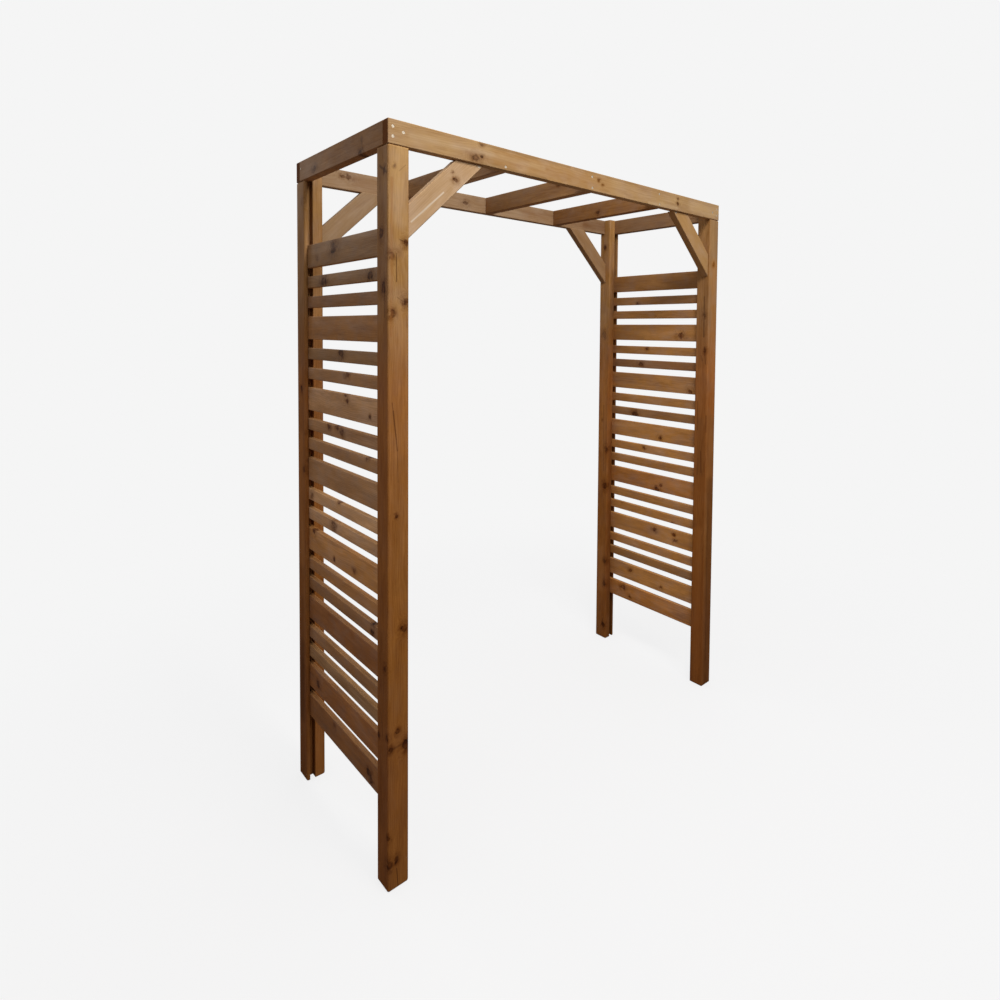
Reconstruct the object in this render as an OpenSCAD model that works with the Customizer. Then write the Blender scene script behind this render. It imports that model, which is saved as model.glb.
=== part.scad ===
// Garden arch of planed, stained softwood.
// Two slatted sides stand on two grooved posts each and carry a flat, open top frame.
// X runs across the walkway, Y runs through it from front to back, Z is up.
// The origin is on the ground, midway between the four posts.

/* [Overall] */
// Width over the outer faces of the posts
arch_w = 1600; // [1200:10:2400]
// Depth over the outer faces of the posts
arch_d = 700; // [450:10:1200]
// Height from the ground to the top of the frame
arch_h = 2225; // [2100:5:2600]

/* [Posts] */
// Size of a post across the walkway
post_w = 65; // [58:1:95]
// Size of a post along the walkway
post_d = 70; // [60:1:95]
// Thickness of the outer wall of the slat groove
lip_t = 12; // [8:1:20]
// Depth of the slat groove
groove_depth = 25; // [12:1:30]

/* [Top frame] */
// Thickness of the frame boards
board_t = 30; // [20:1:35]
// Height of the frame boards
board_h = 70; // [50:1:110]
// Thickness of the crossbars
crossbar_t = 30; // [18:1:60]

/* [Braces] */
// Leg of a brace along the post, measured to its lower edge
brace_leg = 258; // [150:1:350]
// Width of a brace board
brace_w = 70; // [40:1:90]
// Thickness of a brace board
brace_t = 34; // [18:1:45]
// Distance that a brace sits behind the outer face of its beam
brace_setback = 8; // [0:1:12]

/* [Slats] */
// Thickness of the slats
slat_t = 17; // [12:1:22]
// Height of a wide slat
wide_h = 80; // [50:1:90]
// Height of a narrow slat
narrow_h = 40; // [20:1:48]
// Open gap between one slat and the next
slat_gap = 30; // [10:1:36]
// Height of the lowest slat above the ground
panel_foot = 240; // [50:5:320]
// Number of repeats of one wide and two narrow slats
group_count = 6; // [2:1:6]

/* [Hidden] */

// Free play of a slat in its groove, on each face and at each end
slat_play = 0.5;
// Overshoot of a cutting solid past the face it cuts
cut = 1;

groove_w = slat_t + 2 * slat_play;
slat_l = arch_d - 2 * post_d + 2 * (groove_depth - slat_play);
frame_z = arch_h - board_h;
crossbar_count = 3;
crossbar_l = arch_d - 2 * board_t;
bay_w = (arch_w - 2 * board_t - crossbar_count * crossbar_t) / (crossbar_count + 1);
narrow_per_group = 2;
group_h = wide_h + narrow_per_group * narrow_h + (narrow_per_group + 1) * slat_gap;

// Places a child that is drawn at the front left corner of the plan
// at the corner given by the signs of X and Y.
module at_corner(side_x, side_y) {
    mirror([side_x > 0 ? 1 : 0, 0, 0])
        mirror([0, side_y > 0 ? 1 : 0, 0])
            translate([-arch_w / 2, -arch_d / 2, 0])
                children();
}

// Post. Its inner face, towards the other post of the same side, has the
// slat groove over the full length. Its head is rebated on two faces for the frame.
module post(side_x, side_y) {
    color("#8a5f35")
        at_corner(side_x, side_y)
            difference() {
                cube([post_w, post_d, arch_h]);
                translate([lip_t, post_d - groove_depth, -cut])
                    cube([groove_w, groove_depth + cut, arch_h + 2 * cut]);
                translate([-cut, -cut, frame_z])
                    cube([post_w + 2 * cut, board_t + cut, board_h + cut]);
                translate([-cut, -cut, frame_z])
                    cube([board_t + cut, post_d + 2 * cut, board_h + cut]);
            }
}

// Long board of the frame. It runs over both posts and shows its end grain at the sides.
module beam(side_y) {
    color("#a47a4a")
        at_corner(-1, side_y)
            translate([0, 0, frame_z])
                cube([arch_w, board_t, board_h]);
}

// Short board of the frame, fitted between the two beams over the panel.
module end_rail(side_x) {
    color("#7d5836")
        at_corner(side_x, -1)
            translate([0, board_t, frame_z])
                cube([board_t, arch_d - 2 * board_t, board_h]);
}

// Board on edge between the beams. The crossbars leave equal bays.
module crossbar(index) {
    color("#70502f")
        translate([
            -arch_w / 2 + board_t + bay_w + index * (bay_w + crossbar_t),
            -crossbar_l / 2,
            frame_z
        ])
            cube([crossbar_t, crossbar_l, board_h]);
}

// Diagonal board, cut at 45 degrees at both ends, between a post and its beam.
module brace(side_x, side_y) {
    cut_w = brace_w * sqrt(2);
    color("#ad8354")
        at_corner(side_x, side_y)
            translate([post_w, brace_setback + brace_t, frame_z])
                rotate([90, 0, 0])
                    linear_extrude(height = brace_t)
                        polygon([
                            [0, -brace_leg],
                            [brace_leg, 0],
                            [brace_leg - cut_w, 0],
                            [0, cut_w - brace_leg]
                        ]);
}

// One horizontal slat of a side panel, with its underside at the height z.
module slat(z, height) {
    translate([lip_t + slat_play, (arch_d - slat_l) / 2, z])
        cube([slat_t, slat_l, height]);
}

// All slats of one side, let into the grooves of its two posts: a wide slat at
// the foot, then repeats of one wide and two narrow slats, and a wide slat on top.
module panel(side_x) {
    color("#7a5431")
        at_corner(side_x, -1) {
            first_group = panel_foot + wide_h + slat_gap;
            slat(panel_foot, wide_h);
            for (group = [0 : group_count - 1]) {
                group_z = first_group + group * group_h;
                slat(group_z, wide_h);
                for (i = [0 : narrow_per_group - 1])
                    slat(group_z + wide_h + slat_gap + i * (narrow_h + slat_gap), narrow_h);
            }
            slat(first_group + group_count * group_h, wide_h);
        }
}

post(-1, -1);  // post_front_left
post(1, -1);  // post_front_right
post(-1, 1);  // post_back_left
post(1, 1);  // post_back_right
beam(-1);  // beam_front
beam(1);  // beam_back
end_rail(-1);  // end_rail_left
end_rail(1);  // end_rail_right
crossbar(0);  // crossbar_left
crossbar(1);  // crossbar_middle
crossbar(2);  // crossbar_right
brace(-1, -1);  // brace_front_left
brace(1, -1);  // brace_front_right
brace(-1, 1);  // brace_back_left
brace(1, 1);  // brace_back_right
panel(-1);  // panel_left
panel(1);  // panel_right
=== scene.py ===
import math

import bmesh
import bpy
from mathutils import Matrix, Vector


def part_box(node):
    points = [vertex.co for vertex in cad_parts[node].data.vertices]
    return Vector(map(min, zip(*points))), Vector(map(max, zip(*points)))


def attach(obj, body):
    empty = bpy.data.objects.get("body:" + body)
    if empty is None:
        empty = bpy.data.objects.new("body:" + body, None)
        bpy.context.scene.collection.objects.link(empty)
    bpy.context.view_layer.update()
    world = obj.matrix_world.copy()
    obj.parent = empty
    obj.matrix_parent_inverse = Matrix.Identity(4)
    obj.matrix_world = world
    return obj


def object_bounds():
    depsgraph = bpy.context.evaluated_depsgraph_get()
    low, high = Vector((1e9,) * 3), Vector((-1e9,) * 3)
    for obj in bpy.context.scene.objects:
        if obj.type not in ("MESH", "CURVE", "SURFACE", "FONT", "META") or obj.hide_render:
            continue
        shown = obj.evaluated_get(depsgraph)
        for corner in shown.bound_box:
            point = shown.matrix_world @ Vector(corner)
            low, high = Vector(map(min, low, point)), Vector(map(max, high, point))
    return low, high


# the arch's plain solids, and the box round them all
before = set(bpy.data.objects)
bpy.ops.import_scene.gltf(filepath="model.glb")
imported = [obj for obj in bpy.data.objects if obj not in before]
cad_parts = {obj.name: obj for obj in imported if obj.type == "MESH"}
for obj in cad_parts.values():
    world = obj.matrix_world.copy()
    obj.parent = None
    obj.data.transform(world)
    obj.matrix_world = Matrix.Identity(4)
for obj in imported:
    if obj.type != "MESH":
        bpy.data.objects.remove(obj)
cad_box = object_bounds()

# ---------------------------------------------------------------- posts
# Four square posts of planed softwood, grooved down the face that looks at the other post of the same
# side. They were sawn, planed, eased along the arrises and dipped in a brown water-borne stain.


def put(tree, kind, wires=None, **settings):
    """Adds a shader node. wires maps its inputs to a value, or to the socket or node that feeds them."""
    node = tree.nodes.new("ShaderNode" + kind)
    for name, value in settings.items():
        setattr(node, name, value)
    for socket, value in (wires or {}).items():
        if isinstance(value, bpy.types.Node):
            value = value.outputs[0]
        if isinstance(value, bpy.types.NodeSocket):
            tree.links.new(value, node.inputs[socket])
        else:
            node.inputs[socket].default_value = value
    return node


def stain(hex_colour):
    """A linear colour, with alpha, from an sRGB hex value."""
    parts = [int(hex_colour[i : i + 2], 16) / 255 for i in (1, 3, 5)]
    return [c / 12.92 if c <= 0.04045 else ((c + 0.055) / 1.055) ** 2.4 for c in parts] + [1.0]


def streaks(tree, grain, along, across, detail, roughness=0.5):
    """Cloudy noise drawn out along the grain, with so many cells to a metre along it and across it."""
    cells = put(tree, "Mapping", {"Vector": grain, "Scale": (along, across, across)})
    return put(tree, "TexNoise", {"Vector": cells, "Scale": 1.0, "Detail": detail, "Roughness": roughness})


SLAT_REPEAT = 0.25  # metres from a wide slat's foot to the next wide slat's


def grain_space(tree, place, node, along, across, beside, seed, many_slats):
    """Places in the stem that a board was sawn from: along it, and across and through it from its heart."""
    middle = sum(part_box(node), Vector()) / 2
    through = Vector(along).cross(Vector(across))
    heart = [middle.dot(Vector(across)) + beside[0] / 1000, middle.dot(through) + beside[1] / 1000]
    sides = [
        put(tree, "VectorMath", {0: place, 1: axis}, operation="DOT_PRODUCT").outputs["Value"]
        for axis in (along, across, through)
    ]
    if many_slats:
        # slats repeat every 250 mm, so this puts each one at its own distance from a heart line
        own = put(tree, "NewGeometry").outputs["Random Per Island"]
        sides[0] = put(tree, "Math", {0: own, 1: 19.0, 2: sides[0]}, operation="MULTIPLY_ADD")
        sides[1] = put(tree, "Math", {0: sides[1], 1: SLAT_REPEAT}, operation="FLOORED_MODULO")
        sides[1] = put(tree, "Math", {0: own, 1: -SLAT_REPEAT, 2: sides[1]}, operation="MULTIPLY_ADD")
        heart[0] = beside[0] / 1000
    board = put(tree, "CombineXYZ", {0: sides[0], 1: sides[1], 2: sides[2]})
    # each seed takes another 3.7 m length of the same endless stem
    grain = put(tree, "VectorMath", {0: board, 1: (seed * 3.7, -heart[0], -heart[1])}, operation="ADD")

    # the stem wanders by about a centimetre over half a metre
    wander = streaks(tree, grain, 1.6, 5.0, 2.0).outputs["Color"]
    wires = {0: wander, 1: (0.0, 0.034, 0.034), 2: (0.0, -0.017, -0.017)}
    wander = put(tree, "VectorMath", wires, operation="MULTIPLY_ADD")
    return put(tree, "VectorMath", {0: grain, 1: wander}, operation="ADD")


def knot_distance(tree, place, grain, ragged, knots, wild):
    """Distance to the nearest knot, in knot radii, with edges torn by up to 8 mm."""
    wires = {0: ragged.outputs["Color"], 1: (0.016, 0.016, 0.016), 2: (-0.008, -0.008, -0.008)}
    torn = put(tree, "VectorMath", wires, operation="MULTIPLY_ADD")
    torn = put(tree, "VectorMath", {0: place, 1: torn}, operation="ADD")
    # a cell of 90 mm may hold a small knot of 4 to 12 mm radius, and without one it lies far off
    cells = put(tree, "TexVoronoi", {"Vector": grain, "Scale": 11.0, "Randomness": 1.0})
    lot = put(tree, "SeparateColor", {0: cells.outputs["Color"]})
    radius = put(tree, "MapRange", {0: lot.outputs[1], 3: 0.045, 4: 0.13})
    near = put(tree, "Math", {0: cells.outputs["Distance"], 1: radius}, operation="DIVIDE")
    absent = put(tree, "Math", {0: lot.outputs[0], 1: wild}, operation="GREATER_THAN")
    near = put(tree, "Math", {0: absent, 1: 20.0, 2: near}, operation="MULTIPLY_ADD")
    for centre, spread in knots:
        shift = [-c * s for c, s in zip(centre, spread)]
        one = put(tree, "Mapping", {"Vector": torn, "Location": shift, "Scale": spread})
        one = put(tree, "VectorMath", {0: one}, operation="LENGTH").outputs["Value"]
        near = put(tree, "Math", {0: near, 1: one}, operation="MINIMUM")
    return near


RING_GAP = 0.005  # metres; real rings are closer, and these are coarse so that they show


def growth_rings(tree, grain, near):
    """How much latewood there is, from 0 to 1, in wavy rings round the heart that knots push aside."""
    flat = put(tree, "VectorMath", {0: grain, 1: (0.0, 1.0, 1.0)}, operation="MULTIPLY")
    reach = put(tree, "VectorMath", {0: flat}, operation="LENGTH").outputs["Value"]
    bulge = put(
        tree, "MapRange", {0: near, 1: 0.3, 2: 4.0, 3: 0.022, 4: 0.0}, interpolation_type="SMOOTHERSTEP"
    )
    reach = put(tree, "Math", {0: reach, 1: bulge}, operation="ADD")
    warble = streaks(tree, grain, 9.0, 45.0, 2.0)
    rings = put(tree, "Math", {0: reach, 1: 1 / RING_GAP}, operation="MULTIPLY")
    rings = put(tree, "Math", {0: warble.outputs[0], 1: 2.4, 2: rings}, operation="MULTIPLY_ADD")
    latewood = put(tree, "Math", {0: rings}, operation="FRACT")
    latewood = put(tree, "ValToRGB", {0: latewood})
    ramp = latewood.color_ramp
    for at, depth in ((0.35, 0.12), (0.80, 0.95), (0.93, 0.75)):
        ramp.elements.new(at).color = (depth, depth, depth, 1)
    ramp.elements[0].color = (0, 0, 0, 1)
    ramp.elements[-1].color = (0, 0, 0, 1)
    return latewood


def draw_marks(tree, place, colour, blotch, marks):
    """Drying cracks, dark grain lines, scuffs, patches of thick or thin stain, and patches of painted shade,
    shadow, highlight and light, each along a line.
    """
    for start, end, width, shade, strength in marks:
        run = end - start
        far = put(tree, "VectorMath", {0: place, 1: start}, operation="SUBTRACT")
        share = put(tree, "VectorMath", {0: far, 1: run / run.length_squared}, operation="DOT_PRODUCT")
        share = put(tree, "Math", {0: share.outputs["Value"], 1: 0.0}, operation="ADD", use_clamp=True)
        share = put(tree, "CombineXYZ", {0: share, 1: share, 2: share})
        far = put(tree, "VectorMath", {0: share, 1: -run, 2: far}, operation="MULTIPLY_ADD")
        far = put(tree, "VectorMath", {0: far}, operation="LENGTH").outputs["Value"]
        far = put(tree, "Math", {0: blotch.outputs[0], 1: width * 0.9, 2: far}, operation="MULTIPLY_ADD")
        mark = put(
            tree, "MapRange", {0: far, 1: width * 0.55, 2: width * 1.25, 3: strength, 4: 0.0},
            interpolation_type="SMOOTHSTEP",
        )
        colour = put(tree, "Mix", {0: mark, 6: colour, 7: stain(shade)}, data_type="RGBA").outputs[2]
    return colour


def faces_square_to(tree, direction):
    """1 on the faces square to a direction, and 0 on the others."""
    normal = put(tree, "NewGeometry").outputs["True Normal"]
    facing = put(tree, "VectorMath", {0: normal, 1: direction}, operation="DOT_PRODUCT").outputs["Value"]
    facing = put(tree, "Math", {0: facing}, operation="ABSOLUTE")
    return put(tree, "MapRange", {0: facing, 1: 0.60, 2: 0.85})


def shade_slats(tree, colour, height, across, tones):
    """Gives each slat a shade of its own, which the narrow edges keep less of."""
    shades = put(tree, "ValToRGB", {0: height})
    shades.color_ramp.interpolation = "CONSTANT"
    stops = shades.color_ramp.elements
    for number, (at, tone) in enumerate(tones):
        stop = stops[number] if number < 2 else stops.new(at / cad_box[1].z)
        stop.position, stop.color = at / cad_box[1].z, stain(tone)
    share = put(tree, "MapRange", {0: faces_square_to(tree, across), 3: 1.0, 4: 0.72})
    wires = {0: share, 6: colour, 7: shades}
    return put(tree, "Mix", wires, data_type="RGBA", blend_type="MULTIPLY").outputs[2]


def draw_knots(tree, colour, near, ragged, fibre):
    """Darker wood round each knot in broken feathers, a heart almost as the board, and a thin broken rim.

    Gives the colour and the rim.
    """
    broken = put(tree, "MapRange", {0: ragged.outputs[0], 1: 0.36, 2: 0.60, 3: 0.1, 4: 1.0})
    feather = put(tree, "Math", {0: fibre.outputs[0], 1: 3.0, 2: -1.5}, operation="MULTIPLY_ADD")
    feather = put(tree, "Math", {0: near, 1: feather}, operation="ADD")
    halo = put(
        tree, "MapRange", {0: feather, 1: 0.7, 2: 2.9, 3: 1.0, 4: 0.0}, interpolation_type="SMOOTHSTEP"
    )
    halo = put(tree, "Math", {0: halo, 1: broken}, operation="MULTIPLY")
    core = put(
        tree, "MapRange", {0: near, 1: 0.5, 2: 1.2, 3: 1.0, 4: 0.0}, interpolation_type="SMOOTHSTEP"
    )
    rim = put(tree, "Math", {0: near, 1: 0.85}, operation="SUBTRACT")
    rim = put(tree, "Math", {0: rim}, operation="ABSOLUTE")
    rim = put(
        tree, "MapRange", {0: rim, 1: 0.02, 2: 0.32, 3: 0.75, 4: 0.0}, interpolation_type="SMOOTHSTEP"
    )
    rim = put(tree, "Math", {0: rim, 1: broken}, operation="MULTIPLY")
    for share, shade in ((halo, "#AC9070"), (core, "#CDBEB2"), (rim, "#6E5A4A")):
        wires = {0: share, 6: colour, 7: stain(shade)}
        colour = put(tree, "Mix", wires, data_type="RGBA", blend_type="MULTIPLY").outputs[2]
    return colour, rim


def shade_downwards(tree, colour, height, shades, strength):
    """Painted shade that darkens the colour downwards. shades lists heights, as shares of the arch's, and
    their colours.
    """
    painted_foot_shade = put(tree, "ValToRGB", {0: height})
    stops = painted_foot_shade.color_ramp.elements
    stops[0].color, stops[-1].color = stain(shades[0][1]), stain(shades[-1][1])
    for at, shade in shades[1:-1]:
        stops.new(at).color = stain(shade)
    painted_foot_shade = put(tree, "Gamma", {0: painted_foot_shade, 1: strength})
    wires = {0: 1.0, 6: colour, 7: painted_foot_shade}
    return put(tree, "Mix", wires, data_type="RGBA", blend_type="MULTIPLY").outputs[2]


def stained_pine(node, along, across, beside, pale, deep, seed, knots=(), marks=(), foot=None, tones=None,
                 wild=0.1, sheen=0.12, side="#FFFFFF"):
    """Planed pine under a thin brown stain, satin where the stain has filmed over.

    Growth rings run round a heart line lying beside the board, so faces show flat or straight grain and
    cut ends show arcs; rings bend round knots, and end grain drinks the stain and goes dark.
    along, across: directions along and across the board; beside: mm from the board's middle to the heart
    line, across and through it; pale, deep: wood that took little and much stain; seed: another whole
    number for each board; knots: (centre, how many of its radii a metre holds on each axis); marks: (start,
    end, width, colour, strength); foot: painted shade that darkens the wood towards the ground, and how
    strongly; tones: (height, colour) of each slat, where the node holds many separate slats; wild: share of
    cells with a small knot; sheen: how much film lies on the wood; side: tint of the two faces across the
    board.
    """
    material = bpy.data.materials.new("pine_" + node)
    material.use_nodes = True
    tree = material.node_tree
    shader = tree.nodes["Principled BSDF"]
    place = put(tree, "TexCoord").outputs["Object"]
    height = put(tree, "SeparateXYZ", {0: place}).outputs["Z"]
    height = put(tree, "MapRange", {0: height, 2: cad_box[1].z})
    grain = grain_space(tree, place, node, along, across, beside, seed, bool(tones))
    ragged = put(tree, "TexNoise", {"Vector": place, "Scale": 55.0, "Detail": 4.0, "Roughness": 0.65})
    near = knot_distance(tree, place, grain, ragged, knots, wild)
    latewood = growth_rings(tree, grain, near)

    # fibres about 2 mm apart, coarser than real ones so that they show; cloudy stain uptake in streaks of
    # a few centimetres, and blotches where it was brushed on
    fibre = streaks(tree, grain, 9.0, 420.0, 3.0, 0.65)
    cloud = streaks(tree, grain, 5.0, 26.0, 4.0, 0.6)
    blotch = streaks(tree, grain, 12.0, 22.0, 3.0, 0.6)
    depth = put(tree, "Math", {0: fibre.outputs[0], 1: 0.8, 2: -0.40}, operation="MULTIPLY_ADD")
    depth = put(tree, "Math", {0: cloud.outputs[0], 1: 1.1, 2: depth}, operation="MULTIPLY_ADD")
    depth = put(tree, "Math", {0: blotch.outputs[0], 1: 1.1, 2: depth}, operation="MULTIPLY_ADD")
    depth = put(tree, "Math", {0: latewood, 1: 0.20, 2: depth}, operation="MULTIPLY_ADD")
    depth = put(tree, "Math", {0: depth, 1: -0.68}, operation="ADD", use_clamp=True)
    colour = put(tree, "Mix", {0: depth, 6: stain(pale), 7: stain(deep)}, data_type="RGBA").outputs[2]
    if tones:
        colour = shade_slats(tree, colour, height, across, tones)
    colour, rim = draw_knots(tree, colour, near, ragged, fibre)
    colour = draw_marks(tree, place, colour, blotch, marks)

    # in blotches the wood is a little greyer and paler
    grey_blotch = put(tree, "MapRange", {0: blotch.outputs[0], 1: 0.42, 2: 0.68})
    desaturation = put(tree, "MapRange", {0: grey_blotch, 3: 1.04, 4: 0.86})
    paler = put(tree, "MapRange", {0: grey_blotch, 3: 0.96, 4: 1.12})
    colour = put(tree, "HueSaturation", {"Color": colour, "Saturation": desaturation, "Value": paler})

    # cut ends soak up the stain, and the two faces across the board take the side tint
    cut_end = faces_square_to(tree, along)
    for share, shade in ((cut_end, "#AC8260"), (faces_square_to(tree, across), side)):
        wires = {0: share, 6: colour, 7: stain(shade)}
        colour = put(tree, "Mix", wires, data_type="RGBA", blend_type="MULTIPLY").outputs[2]
    # painted shade: where foot is given, the colour darkens towards the ground
    if foot:
        colour = shade_downwards(tree, colour, height, *foot)
    tree.links.new(colour, shader.inputs["Base Color"])

    # the film is satin, patchy with the clouds and dry on end grain
    gloss = put(tree, "MapRange", {0: cloud.outputs[0], 1: 0.3, 2: 0.7, 3: 0.54, 4: 0.66})
    gloss = put(tree, "Math", {0: cut_end, 1: 0.3, 2: gloss}, operation="MULTIPLY_ADD", use_clamp=True)
    tree.links.new(gloss.outputs[0], shader.inputs["Roughness"])
    shader.inputs["IOR"].default_value = 1.5
    shader.inputs["Specular IOR Level"].default_value = sheen

    # raised grain of a tenth of a millimetre, and a shallow crack round each knot
    relief = put(tree, "Math", {0: fibre.outputs[0], 1: 0.16}, operation="MULTIPLY")
    relief = put(tree, "Math", {0: latewood, 1: 0.10, 2: relief}, operation="MULTIPLY_ADD")
    relief = put(tree, "Math", {0: rim, 1: -0.4, 2: relief}, operation="MULTIPLY_ADD")
    bump = put(tree, "Bump", {"Strength": 0.7, "Distance": 0.001, "Height": relief})
    tree.links.new(bump.outputs[0], shader.inputs["Normal"])
    return material


def ease(node, radius, groove_radius=None):
    """Rounds a CAD node's arrises, in metres, as a planer's easing knife does, and shades them smoothly.

    With groove_radius the knife takes just the outermost arrises, and a groove's edges get that radius.
    """
    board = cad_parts[node]
    weld = board.modifiers.new("weld", "WELD")
    weld.merge_threshold = 1e-5
    plain = board.modifiers.new("plain_faces", "DECIMATE")
    plain.decimate_type, plain.angle_limit = "DISSOLVE", math.radians(1)
    arris = board.modifiers.new("arris", "BEVEL")
    arris.width, arris.segments, arris.limit_method = radius, 3, "ANGLE"
    arris.angle_limit, arris.harden_normals = math.radians(30), True
    if groove_radius:
        middle = sum(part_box(node), Vector()) / 2
        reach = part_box(node)[1] - middle
        outermost = [
            corner.index for corner in board.data.vertices
            if all(abs(abs(corner.co[i] - middle[i]) - reach[i]) < 1e-4 for i in (0, 1))
        ]
        board.vertex_groups.new(name="outermost").add(outermost, 1.0, "REPLACE")
        arris.limit_method, arris.vertex_group = "VGROUP", "outermost"
        groove = board.modifiers.new("groove_edges", "BEVEL")
        groove.width, groove.segments, groove.limit_method = groove_radius, 2, "ANGLE"
        groove.angle_limit, groove.harden_normals = math.radians(50), True
        even = board.modifiers.new("flat_faces", "WEIGHTED_NORMAL")
        even.keep_sharp, even.weight = True, 100
    for face in board.data.polygons:
        face.use_smooth = True
    return board


def finish_in(board, material):
    """Gives a board its material in every slot."""
    board.data.materials.clear()
    board.data.materials.append(material)


def knots_on(node, spots, along, shallow=False):
    """Knots on a node: (axis it runs along, two distances in mm from the low corner, radius in mm).

    along is the grain's axis, on which a knot looks longer. A shallow knot is a side branch that shows
    on the low face only; others run right through.
    """
    low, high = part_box(node)
    found = []
    for axis, first, second, size in spots:
        pierced = "xyz".index(axis)
        others = [i for i in range(3) if i != pierced]
        centre = [(a + b) / 2 for a, b in zip(low, high)]
        spread = [1000 / size] * 3
        if along in "xyz":
            spread["xyz".index(along)] *= 0.7
        if shallow:
            centre[pierced] = low[pierced]
        spread[pierced] *= 0.7 if shallow else 0.2
        for i, away in zip(others, (first, second)):
            centre[i] = low[i] + away / 1000
        found.append((centre, spread))
    return found


def marks_on(node, lines):
    """Marks on a node's low faces: (axis it faces, start and end in mm from the low corner, width in mm,
    colour, strength).
    """
    low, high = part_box(node)
    found = []
    for axis, start, end, width, shade, strength in lines:
        others = [i for i in range(3) if i != "xyz".index(axis)]
        ends = []
        for distances in (start, end):
            spot = Vector(low)
            for i, away in zip(others, distances):
                spot[i] += away / 1000
            ends.append(spot)
        found.append((*ends, width / 1000, shade, strength))
    return found


POST_ARRIS, GROOVE_ARRIS = 0.006, 0.0008
post_knots = {
    "post_front_left": [
        ("y", 20, 2096, 3.5), ("x", 20, 2082, 7), ("y", 55, 1885, 7), ("y", 11, 1843, 8),
        ("x", 40, 1910, 10), ("x", 25, 1755, 11), ("y", 56, 1718, 8), ("y", 15, 1683, 8),
        ("y", 27, 1103, 4), ("y", 50, 769, 9), ("y", 30, 470, 6), ("y", 10, 424, 6), ("y", 56, 420, 11),
        ("x", 7, 460, 6), ("x", 58, 447, 6), ("x", 19, 660, 7), ("x", 4, 163, 6), ("y", 5, 80, 9),
        ("y", 25, 88, 7),
    ],
    "post_front_right": [("y", 31, 1953, 6), ("x", 17, 1560, 7), ("x", 22, 1720, 6)],
    "post_back_left": [("x", 32, 1422, 8), ("x", 13, 1135, 8)],
    "post_back_right": [
        ("x", 36, 2082, 7), ("x", 32, 1627, 12), ("x", 39, 1171, 5), ("x", 11, 1023, 11),
        ("x", 14, 822, 12), ("x", 11, 418, 9), ("x", 11, 298, 9), ("x", 13, 69, 9),
    ],
}
# where the stain soaked in, with painted shade and shadow on some patches; where it was rubbed off, with a
# painted highlight along one arris; and where it is thin
DARK, WORN_AND_HIGHLIGHT, THIN = "#4A2A14", "#C9A277", "#E8C08A"
# where the stain took unevenly, and painted shade on some posts: face, from and to in mm above the foot,
# colour, strength
PATCH_MIDDLE, PATCH_WIDTH = 35, 50  # mm across the face, which such a patch covers
post_patches = {
    "post_front_left": [
        ("y", 900, 1250, DARK, 0.15), ("y", 1950, 2130, "#F0D2A8", 0.2), ("x", 200, 750, DARK, 0.17),
        ("x", 1050, 1230, "#A89078", 0.15), ("x", 1750, 1980, "#6A3A1C", 0.2),
    ],
    "post_front_right": [
        # the darker front from the foot to 950 mm is painted shade, where the front light falls off near the
        # ground
        ("y", 0, 950, DARK, 0.34), ("y", 1280, 1950, "#DC9030", 0.22), ("x", 10, 720, THIN, 0.28),
        ("x", 1000, 1230, "#786C5C", 0.25), ("x", 1500, 1740, DARK, 0.17),
    ],
    "post_back_left": [
        ("x", 0, 650, DARK, 0.2), ("x", 230, 490, DARK, 0.4), ("x", 800, 1250, THIN, 0.3),
        ("x", 1520, 1730, DARK, 0.2), ("y", 0, 240, THIN, 0.3), ("y", 1800, 2200, DARK, 0.24),
    ],
    "post_back_right": [
        # the darker front from the foot to 1150 mm is painted shade, where the front light falls off near the
        # ground, and the dark side from 1980 mm up is a painted shadow under the head
        ("y", 0, 1150, DARK, 0.36), ("y", 1740, 1950, DARK, 0.45), ("x", 270, 480, THIN, 0.25),
        ("x", 1020, 1720, THIN, 0.22), ("x", 1980, 2200, DARK, 0.2),
    ],
}
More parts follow.
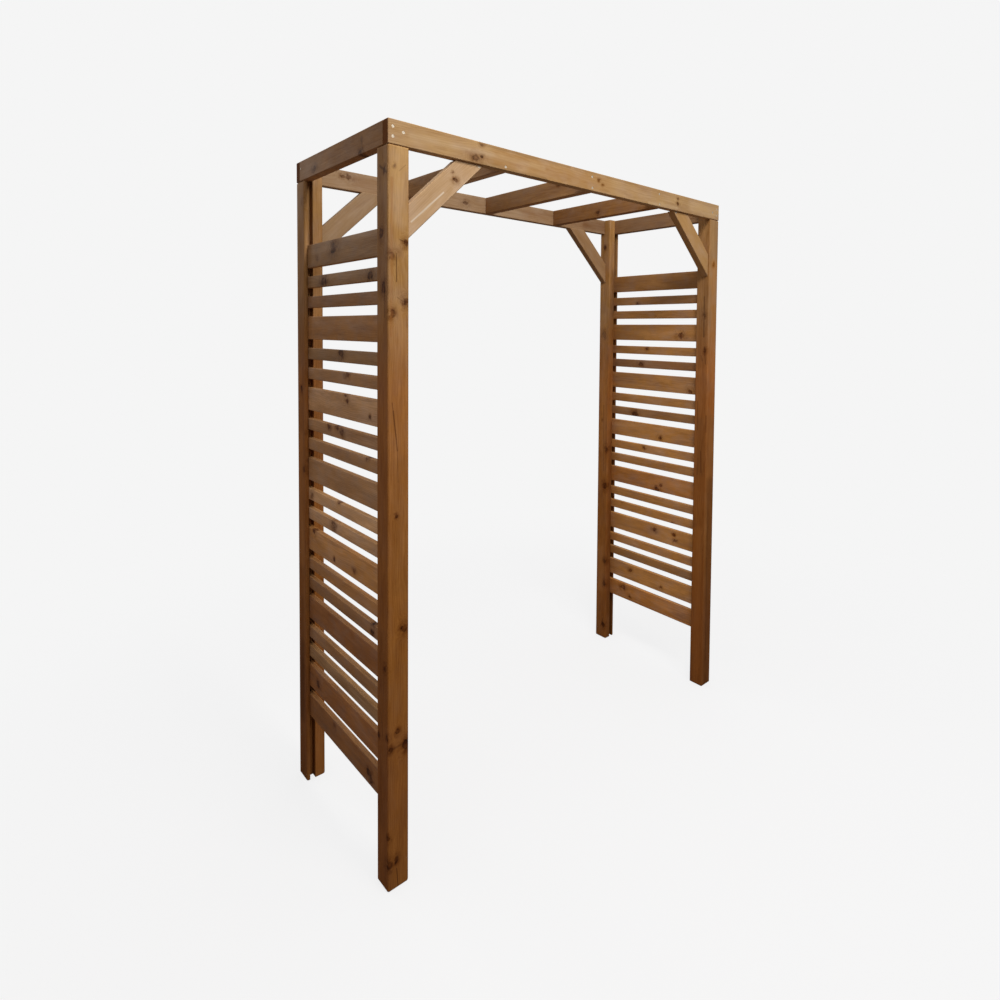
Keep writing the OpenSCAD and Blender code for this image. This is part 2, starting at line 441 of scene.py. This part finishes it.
# drying cracks, dark grain lines, a painted highlight along the rounded front left arris, and two nicks
# through the stain
post_marks = {
    "post_front_left": [
        ("y", (26, 1852), (26, 1773), 2.5, DARK, 0.7), ("y", (27, 1730), (44, 1719), 3, DARK, 0.5),
        ("y", (44, 1719), (63, 1716), 3, DARK, 0.7), ("y", (36, 1892), (62, 1884), 3, DARK, 0.6),
        ("y", (13, 1430), (16, 1407), 3, DARK, 0.5), ("y", (16, 1407), (29, 1292), 4, DARK, 0.7),
        ("y", (29, 1292), (31, 1200), 3, DARK, 0.35), ("y", (12, 2060), (10, 1620), 9, "#A8713C", 0.35),
        # the pale line about 9 mm in from the left arris, from 660 to 1180 mm up, is a painted highlight of
        # the rounded arris
        ("y", (9, 1180), (10, 660), 3, WORN_AND_HIGHLIGHT, 0.4), ("y", (58, 1440), (59, 1432), 4, WORN_AND_HIGHLIGHT, 0.5),
        ("y", (28, 312), (28, 309), 2.5, WORN_AND_HIGHLIGHT, 0.7), ("y", (27, 61), (31, 6), 2.5, DARK, 0.7),
        ("y", (12, 424), (62, 428), 8, DARK, 0.35), ("y", (54, 2104), (34, 2084), 2.5, DARK, 0.25),
        ("x", (50, 2100), (8, 2076), 8, DARK, 0.6), ("x", (22, 1800), (19, 1673), 4, DARK, 0.5),
        ("x", (44, 520), (30, 440), 3, DARK, 0.5),
    ],
    "post_front_right": [
        ("x", (25, 1805), (24, 1625), 9, "#5A4630", 0.6), ("y", (22, 900), (26, 120), 8, DARK, 0.3),
        ("x", (19, 1578), (13, 1500), 5, DARK, 0.5), ("x", (37, 1536), (30, 1515), 8, DARK, 0.3),
        ("x", (52, 1325), (50, 1195), 7, DARK, 0.35), ("x", (4, 1262), (2, 1188), 6, DARK, 0.45),
        ("x", (31, 1095), (26, 1000), 8, DARK, 0.35), ("x", (44, 1060), (47, 985), 5, DARK, 0.3),
    ],
    "post_back_left": [("x", (18, 1500), (12, 1130), 5, DARK, 0.35)],
    "post_back_right": [
        ("x", (30, 1250), (26, 900), 6, DARK, 0.35), ("x", (14, 110), (30, 60), 4, DARK, 0.5),
    ],
}
# painted shade: the posts darken towards the ground, where less of the light reaches them
post_painted_shade = [
    (0.0, "#C9A681"), (0.13, "#D0AB89"), (0.3, "#DDBA8F"), (0.54, "#ECC9A5"),
    (0.66, "#F7D8C0"), (0.78, "#F6EDE6"), (1.0, "#FFFFFF"),
]
# each post took the stain its own way, and the two left ones are darker on their sides: pale and deep wood,
# tint of the sides, strength of the painted shade towards the ground, and mm from the post's middle to its
# heart line
post_wood = {
    "post_front_left": ("#D0AB76", "#996F3A", "#EBDEDC", 1.0, (48, 30)),
    "post_front_right": ("#C6A47A", "#926B3D", "#FDF3E2", 1.15, (52, -34)),
    "post_back_left": ("#D0A875", "#996E3A", "#E2D8D4", 1.0, (-45, 40)),
    "post_back_right": ("#C99F6A", "#946634", "#FFFFFF", 0.9, (50, 26)),
}
for number, (node, wood) in enumerate(post_wood.items()):
    pale, deep, side, strength, beside = wood
    patches = [
        (axis, (PATCH_MIDDLE, start), (PATCH_MIDDLE, end), PATCH_WIDTH, shade, share)
        for axis, start, end, shade, share in post_patches[node]
    ]
    board = ease(node, POST_ARRIS, GROOVE_ARRIS)
    finish_in(
        board,
        stained_pine(
            node, (0, 0, 1), (1, 0, 0), beside, pale, deep, seed=1 + number,
            knots=knots_on(node, post_knots[node], "z", shallow=True),
            marks=marks_on(node, patches + post_marks[node]), foot=(post_painted_shade, strength), side=side,
        ),
    )

# ---------------------------------------------------------------- long beams
# Two planed boards on edge, the full width of the arch, let into the heads of the posts front and back
# and screwed to them. They were stained lighter than the posts.
BOARD_ARRIS = 0.003
beam_knots = {
    "beam_front": [
        ("y", 288, 17, 9), ("y", 310, 26, 5), ("y", 309, 60, 5), ("y", 825, 46, 5), ("y", 846, 31, 4),
        ("y", 1297, 51, 4), ("y", 1297, 30, 6),
    ],
    "beam_back": [("y", 154, 47, 7), ("y", 173, 48, 9), ("y", 682, 31, 9)],
}
# where the stain took more, and less; the front beam has a pale streak along its middle
beam_marks = {
    "beam_front": [
        ("y", (380, 35), (860, 35), 60, "#A06A2C", 0.25), ("y", (1400, 35), (1600, 35), 60, "#E6C9A0", 0.28),
        ("y", (70, 36), (560, 38), 18, "#E0CBA8", 0.17), ("y", (1110, 5), (1290, 12), 16, "#E0CBA8", 0.25),
        ("y", (310, 66), (680, 66), 12, DARK, 0.22), ("y", (700, 66), (1040, 66), 10, DARK, 0.14),
        ("y", (310, 4), (570, 4), 12, DARK, 0.22),
    ],
    "beam_back": [
        ("y", (210, 35), (390, 35), 60, "#7A4E26", 0.3), ("y", (1010, 35), (1380, 35), 60, "#8A5A2C", 0.25),
        ("y", (1400, 35), (1600, 35), 60, "#6A3A14", 0.42),
    ],
}
# pale and deep wood, and mm from the board's middle to its heart line
beam_wood = {
    "beam_front": ("#C9AA7F", "#9E784D", (-18, 48)),
    "beam_back": ("#B99F83", "#90704F", (22, -44)),
}
for number, (node, (pale, deep, beside)) in enumerate(beam_wood.items()):
    board = ease(node, BOARD_ARRIS)
    finish_in(
        board,
        stained_pine(
            node, (1, 0, 0), (0, 0, 1), beside, pale, deep, seed=6 + number,
            knots=knots_on(node, beam_knots[node], "x"), marks=marks_on(node, beam_marks[node]), wild=0.08,
        ),
    )

# ---------------------------------------------------------------- end rails and crossbars
# Short boards of the same section, between the long beams: one at each end and three to carry plants.
# Screws through the beams hold them.
short_knots = {
    "end_rail_left": [("x", 501, 21, 10), ("x", 146, 4, 10), ("x", 140, 42, 5)],
    "end_rail_right": [("x", 210, 44, 7)],
    "crossbar_left": [("x", 420, 30, 8)],
    "crossbar_middle": [("x", 150, 50, 6)],
    "crossbar_right": [("x", 330, 22, 7)],
}
# pale and deep wood, and mm from the board's middle to its heart line
short_wood = {
    "end_rail_left": ("#B88C62", "#895D38", (12, 40)),
    "end_rail_right": ("#A88564", "#7D5939", (-20, -52)),
    "crossbar_left": ("#C09A72", "#8F6742", (25, 46)),
    "crossbar_middle": ("#B68D63", "#885E38", (-8, -38)),
    "crossbar_right": ("#AC7F52", "#80542D", (16, 60)),
}
# patches of the stain, a scraped line across the left rail, and paler undersides on two crossbars, painted
# light standing in for light bounced up from the floor
short_marks = {
    "end_rail_left": [
        ("x", (10, 35), (230, 35), 60, "#7A5024", 0.22), ("x", (470, 35), (690, 35), 60, "#9A8A78", 0.15),
        ("x", (138, 10), (138, 56), 3, "#8F7458", 0.6), ("x", (133, 8), (133, 50), 3, DARK, 0.5),
    ],
    # painted light: the paler undersides of these two crossbars stand in for light bounced up from the floor
    "crossbar_left": [("z", (15, 0), (15, 300), 28, "#E6CDAC", 0.42)],
    "crossbar_middle": [("z", (15, 0), (15, 300), 26, "#E0BC8C", 0.2)],
}
for number, (node, (pale, deep, beside)) in enumerate(short_wood.items()):
    board = ease(node, BOARD_ARRIS)
    finish_in(
        board,
        stained_pine(
            node, (0, 1, 0), (0, 0, 1), beside, pale, deep, seed=9 + number,
            knots=knots_on(node, short_knots[node], "y"), marks=marks_on(node, short_marks.get(node, ())),
        ),
    )

# ---------------------------------------------------------------- corner braces
# Four short planed boards sawn to 45 degrees at both ends, set a little back from the beams' faces.
# Grain runs down the slope.
brace_knots = {
    "brace_front_left": [("y", 156, 196, 8), ("y", 147, 217, 4)],
    "brace_back_left": [("y", 140, 120, 6)],
}
# each was stained by hand, the front ones lighter: pale and deep wood, and mm from the board's middle to
# its heart line
brace_wood = {
    "brace_front_left": ("#D5B794", "#B5936D", (14, 44)),
    "brace_front_right": ("#CBA676", "#AD8557", (-10, 38)),
    "brace_back_left": ("#B09576", "#967756", (20, -50)),
    "brace_back_right": ("#B2916D", "#97744F", (8, 42)),
}
# a rub mark through the stain
brace_marks = {"brace_front_left": [("y", (10, 51), (115, 152), 5, "#E8DCCB", 0.75)]}
for number, (node, (pale, deep, beside)) in enumerate(brace_wood.items()):
    slope = 1 if node.endswith("left") else -1
    along = Vector((1, 0, slope)).normalized()
    across = Vector((-slope, 0, 1)).normalized()
    board = ease(node, BOARD_ARRIS)
    finish_in(
        board,
        stained_pine(
            node, along, across, beside, pale, deep, seed=15 + number,
            knots=knots_on(node, brace_knots.get(node, ()), "slope"),
            marks=marks_on(node, brace_marks.get(node, ())), wild=0.08,
        ),
    )

# ---------------------------------------------------------------- screws
# Zinc-plated countersunk wood screws, 8.4 mm across the head, driven just below the faces of the boards by
# hand, so none sits quite in the middle of the crossbar or rail that it holds.
HEAD, SHANK = 0.0042, 0.0020  # radii
CONE, SUNK = 0.0026, 0.0004  # height of the head, and how deep below the face it is driven
# mm from the beam's end and above its foot: a pair into the end rail, and one screw into the post
left_end = [(15.5, 48.8), (15.5, 21.4), (46.9, 38.2)]
right_end = [(49.2, 30.8), (15.5, 48.8), (15.5, 21.4)]
# mm beside a crossbar's middle for the upper screw, of which the lower one keeps a share
beside_middle = {"crossbar_left": -7.3, "crossbar_middle": -9.5, "crossbar_right": -18.0}
LOWER_SHARE = 0.85
UPPER, LOWER = 51.5, 11.0  # mm above the beam's foot
TURN = 0.7  # radians, from one screw to the next
# mm from the back end and from the top of an end rail, and from the tip's side and the top of a brace
RAIL_SCREW, BRACE_SCREW = (9.2, 25.6), (18.0, 5.5)
screws = {}
for node, outward in (("beam_front", -1), ("beam_back", 1)):
    low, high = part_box(node)
    spots = [(low.x + away / 1000, up) for away, up in left_end]
    spots += [(high.x - away / 1000, up) for away, up in right_end]
    for bar, off in beside_middle.items():
        middle = sum(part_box(bar), Vector()).x / 2
        # in front, the left crossbar has only its lower screw
        if (node, bar) != ("beam_front", "crossbar_left"):
            spots.append((middle + off / 1000, UPPER))
        spots.append((middle + LOWER_SHARE * off / 1000, LOWER))
    face = low.y if outward < 0 else high.y
    screws[node] = [(Vector((x, face, low.z + up / 1000)), Vector((0, outward, 0))) for x, up in spots]
for node, outward in (("end_rail_left", -1), ("end_rail_right", 1)):
    low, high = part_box(node)
    face = low.x if outward < 0 else high.x
    spot = Vector((face, high.y - RAIL_SCREW[0] / 1000, high.z - RAIL_SCREW[1] / 1000))
    screws[node] = [(spot, Vector((outward, 0, 0)))]
for node in brace_wood:
    low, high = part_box(node)
    outward = -1 if "front" in node else 1
    away, down = (distance / 1000 for distance in BRACE_SCREW)
    x = high.x - away if node.endswith("left") else low.x + away
    spot = Vector((x, low.y if outward < 0 else high.y, high.z - down))
    screws[node] = [(spot, Vector((0, outward, 0)))]


def add_screw(mesh, place, outward, turned, hole):
    """Adds to a bmesh a countersunk head with its cross recess, or the hole that the driven head leaves.

    The hole opens a little above the face, so that it cuts it, and leaves some room round the head.
    """
    seat = outward.to_track_quat("Z", "Y").to_matrix().to_4x4() @ Matrix.Rotation(turned, 4, "Z")
    seat = Matrix.Translation(place) @ seat

    def ring(radius, depth, corners=32):
        turns = [math.tau * i / corners for i in range(corners)]
        spots = [(radius * math.cos(turn), radius * math.sin(turn), depth) for turn in turns]
        return [mesh.verts.new(seat @ Vector(spot)) for spot in spots]

    def walls(upper_ring, lower_ring):
        for i in range(len(upper_ring)):
            mesh.faces.new((upper_ring[i - 1], lower_ring[i - 1], lower_ring[i], upper_ring[i]))

    opening, room, deeper, lip = 0.0010, 0.0004, 0.0002, 0.0003
    if hole:
        rings = [
            ring(HEAD + room, opening), ring(HEAD + room, -SUNK - deeper), ring(SHANK, -SUNK - CONE - deeper),
        ]
    else:
        rings = [ring(HEAD, -SUNK), ring(HEAD, -SUNK - lip), ring(SHANK, -SUNK - CONE)]
    walls(rings[0], rings[1])
    walls(rings[1], rings[2])
    mesh.faces.new(rings[2][::-1])
    if hole:
        mesh.faces.new(rings[0])
        return

    # the recess: a plus sign that narrows to its bottom
    arm, half, recess, taper = 0.0024, 0.0005, 0.0016, 0.6
    plus = [(arm, -half), (arm, half), (half, half), (half, arm), (-half, arm), (-half, half)]
    plus += [(-x, -y) for x, y in plus]
    mouth = [mesh.verts.new(seat @ Vector((x, y, -SUNK))) for x, y in plus]
    bottom = [mesh.verts.new(seat @ Vector((x * taper, y * taper, -SUNK - recess))) for x, y in plus]
    walls(mouth, bottom)
    mesh.faces.new(bottom)
    edges = []
    for loop in (rings[0], mouth):
        edges += [mesh.edges.get((loop[i - 1], loop[i])) for i in range(len(loop))]
    bmesh.ops.triangle_fill(mesh, edges=edges, use_beauty=True, normal=outward)


def screw_mesh(name, spots, hole):
    """One object holding every head, or every hole, in spots. Each came to rest turned another way."""
    shape = bmesh.new()
    for number, (place, outward) in enumerate(spots):
        add_screw(shape, place, outward, TURN * number, hole)
    bmesh.ops.recalc_face_normals(shape, faces=shape.faces)
    mesh = bpy.data.meshes.new(name)
    shape.to_mesh(mesh)
    shape.free()
    thing = bpy.data.objects.new(name, mesh)
    bpy.context.scene.collection.objects.link(thing)
    return thing


# bright zinc with a dull white bloom, so it scatters the light softly
zinc = bpy.data.materials.new("zinc_plated_steel")
zinc.use_nodes = True
tree = zinc.node_tree
shader = tree.nodes["Principled BSDF"]
place = put(tree, "TexCoord").outputs["Object"]
grime = put(tree, "TexNoise", {"Vector": place, "Scale": 700.0, "Detail": 2.0})
shade = put(tree, "Mix", {0: grime, 6: stain("#FFFAF0"), 7: stain("#D2CABC")}, data_type="RGBA").outputs[2]
tree.links.new(shade, shader.inputs["Base Color"])
dullness = put(tree, "MapRange", {0: grime, 3: 0.60, 4: 0.85}).outputs[0]
tree.links.new(dullness, shader.inputs["Roughness"])
shader.inputs["Metallic"].default_value = 1.0

heads = screw_mesh("screw_heads", [spot for spots in screws.values() for spot in spots], hole=False)
heads.data.materials.append(zinc)
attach(heads, "root")
for node, spots in screws.items():
    holes = screw_mesh("holes_" + node, spots, hole=True)
    holes.hide_render = holes.hide_viewport = True
    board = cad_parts[node]
    sink = board.modifiers.new("screw_holes", "BOOLEAN")
    sink.operation, sink.solver, sink.object = "DIFFERENCE", "EXACT", holes
    even = board.modifiers.new("flat_faces", "WEIGHTED_NORMAL")
    even.keep_sharp, even.weight = True, 100

# ---------------------------------------------------------------- slatted sides
# Twenty thin planed slats a side, dropped one above another into the posts' grooves: a wide one, then
# two narrow ones, over and over. Nothing else holds them.
SLAT_ARRIS = 0.0022
panel_knots = {
    "panel_left": [
        ("x", 361, 1660, 17), ("x", 442, 1556, 14), ("x", 91, 1557, 12), ("x", 304, 1320, 12),
        ("x", 257, 1252, 10), ("x", 256, 1171, 7), ("x", 403, 1071, 9), ("x", 340, 1078, 9),
        ("x", 300, 1063, 10), ("x", 113, 1009, 7), ("x", 329, 833, 7), ("x", 367, 746, 11),
        ("x", 555, 809, 9), ("x", 207, 636, 7), ("x", 78, 516, 9), ("x", 81, 485, 7),
        ("x", 506, 147, 10), ("x", 104, 38, 11), ("x", 90, 21, 8),
    ],
    "panel_right": [
        ("x", 138, 1387, 13), ("x", 350, 1318, 6), ("x", 389, 1238, 10), ("x", 416, 1545, 6),
        ("x", 78, 1125, 9), ("x", 425, 981, 13), ("x", 257, 879, 8), ("x", 359, 815, 6),
        ("x", 271, 618, 12), ("x", 247, 644, 6), ("x", 170, 472, 6), ("x", 282, 415, 9),
        ("x", 159, 417, 6), ("x", 151, 389, 7), ("x", 440, 162, 8), ("x", 234, 134, 5),
        ("x", 492, 59, 12), ("x", 441, 22, 6),
    ],
}
# each slat came from another board: a letter for each, from the lowest up, stands for its shade
SHADES = {
    "a": "#FFFFFF", "p": "#EFECEA", "t": "#ECDABD", "f": "#D6CEC7", "b": "#D0BFAA",
    "g": "#C0BCB6", "u": "#BAACA0", "r": "#B39880", "k": "#A8917C", "h": "#EAD8B3",
    "y": "#E1C69D", "c": "#DDCDAC", "o": "#C7BAA0",
}
slat_shades = {"panel_left": "krgurubtpafffpfgbugg", "panel_right": "yhohhhcychhoccucccoo"}
TONE_EDGE = 0.01  # a shade begins this far below its slat, in the gap
# where the heart lines run, in mm across the slats and beside their middle plane
panel_hearts = {"panel_left": (0, 30), "panel_right": (0, -34)}
for number, (node, beside) in enumerate(panel_hearts.items()):
    # every other height is a slat's foot
    levels = sorted({round(corner.co.z, 4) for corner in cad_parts[node].data.vertices})[::2]
    tones = [(level - TONE_EDGE, SHADES[letter]) for level, letter in zip(levels, slat_shades[node])]
    board = ease(node, SLAT_ARRIS)
    finish_in(
        board,
        stained_pine(
            node, (0, 1, 0), (0, 0, 1), beside, "#FCCC9D", "#B08053", seed=21 + number,
            knots=knots_on(node, panel_knots[node], "y"), tones=tones, wild=0.12, sheen=0.25, side="#F5EDD4",
        ),
    )

# ---------------------------------------------------------------- floor and light
# A plain pale studio floor that runs into an equally pale backdrop, lit as in a product studio: a soft lamp
# high in front, another overhead just before the arch, a weak one behind on the left that rims the left
# side, and a bright ceiling.
STUDIO_PALE = "#F5F5F5"
FAR = 60  # metres from the arch to the floor's edges, out of sight
floor_mesh = bpy.data.meshes.new("floor")
floor_mesh.from_pydata([(-FAR, -FAR, 0), (FAR, -FAR, 0), (FAR, FAR, 0), (-FAR, FAR, 0)], [], [(0, 1, 2, 3)])
floor = bpy.data.objects.new("floor", floor_mesh)
bpy.context.scene.collection.objects.link(floor)
paint = bpy.data.materials.new("matt_floor_paint")
paint.use_nodes = True
tree = paint.node_tree
tree.nodes.remove(tree.nodes["Principled BSDF"])
# lit near the arch, so that its shadow shows, and evenly pale from 3.2 m out; its bounce is kept low
bare = put(tree, "BsdfDiffuse", {"Color": stain("#857568")})
lit = put(tree, "BsdfDiffuse", {"Color": stain("#66676A")})
lift = put(tree, "Emission", {"Color": stain(STUDIO_PALE), "Strength": 0.875})
near_arch = put(tree, "AddShader", {0: lit, 1: lift})
even = put(tree, "Emission", {"Color": stain(STUDIO_PALE), "Strength": 1.0})
place = put(tree, "TexCoord").outputs["Object"]
away = put(tree, "VectorMath", {0: place}, operation="LENGTH").outputs["Value"]
away = put(tree, "MapRange", {0: away, 1: 1.0, 2: 3.2}, interpolation_type="SMOOTHERSTEP")
shown = put(tree, "MixShader", {0: away, 1: near_arch, 2: even})
seen = put(tree, "LightPath").outputs["Is Camera Ray"]
surface = put(tree, "MixShader", {0: seen, 1: bare, 2: shown})
tree.links.new(surface.outputs[0], tree.nodes["Material Output"].inputs["Surface"])
floor_mesh.materials.append(paint)


def lamp(name, place, aim, width, power, colour):
    """A soft round lamp at place, facing aim, width metres across and of so many watts."""
    light = bpy.data.lights.new(name, "AREA")
    light.shape, light.size = "DISK", width
    light.energy, light.color = power, stain(colour)[:3]
    holder = bpy.data.objects.new(name, light)
    holder.location = place
    holder.rotation_mode = "QUATERNION"
    holder.rotation_quaternion = (Vector(aim) - Vector(place)).to_track_quat("-Z", "Y")
    bpy.context.scene.collection.objects.link(holder)


lamp("front_lamp", (-0.4, -4.2, 4.6), (0.0, 0.0, 1.4), 0.9, 52, "#FFF6EA")
lamp("overhead_lamp", (-0.4, -1.5, 3.6), (0.3, 0.0, 1.0), 0.6, 27, "#FFF6EA")
lamp("back_lamp", (-2.0, 4.3, 3.1), (0.0, 0.0, 1.4), 0.6, 13, "#FFF6EA")
world = bpy.data.worlds.new("studio")
world.use_nodes = True
bpy.context.scene.world = world
tree = world.node_tree
seen = put(tree, "LightPath").outputs["Is Camera Ray"]
# the ceiling is much brighter than the walls
rise = put(tree, "TexCoord").outputs["Generated"]
rise = put(tree, "SeparateXYZ", {0: rise}).outputs["Z"]
rise = put(tree, "MapRange", {0: rise, 3: 0.05, 4: 0.90})
glow = put(tree, "VectorMath", {0: (1.0, 0.98, 0.95), 3: rise}, operation="SCALE")
shade = put(tree, "Mix", {0: seen, 6: glow, 7: stain(STUDIO_PALE)}, data_type="RGBA").outputs[2]
tree.links.new(shade, tree.nodes["Background"].inputs["Color"])

# ---------------------------------------------------------------- camera
# Eye height, in front of the left side, looking diagonally through the arch with a wide lens, shifted down
# rather than tilted, so that the posts stay nearly upright.
EYE = (-1.6123, -2.0042, 1.6365)
cam = bpy.data.cameras.new("camera")
cam.lens, cam.sensor_width = 22.416, 36.0
cam.shift_x, cam.shift_y = -0.0983, -0.1432
cam.clip_end = 200
camera = bpy.data.objects.new("camera", cam)
yaw, pitch, roll = 0.7827, -0.0388, 0.0128  # radians; yaw turns from straight ahead to the right
ahead = Vector((math.sin(yaw) * math.cos(pitch), math.cos(yaw) * math.cos(pitch), math.sin(pitch)))
right = Vector((math.cos(yaw), -math.sin(yaw), 0))
up = right.cross(ahead)
right, up = (
    math.cos(roll) * right + math.sin(roll) * up,
    math.cos(roll) * up - math.sin(roll) * right,
)
turn = Matrix((right, up, -ahead)).transposed()
camera.matrix_world = Matrix.Translation(EYE) @ turn.to_4x4()
bpy.context.scene.collection.objects.link(camera)
bpy.context.scene.camera = camera
bpy.context.scene.view_settings.view_transform = "Standard"
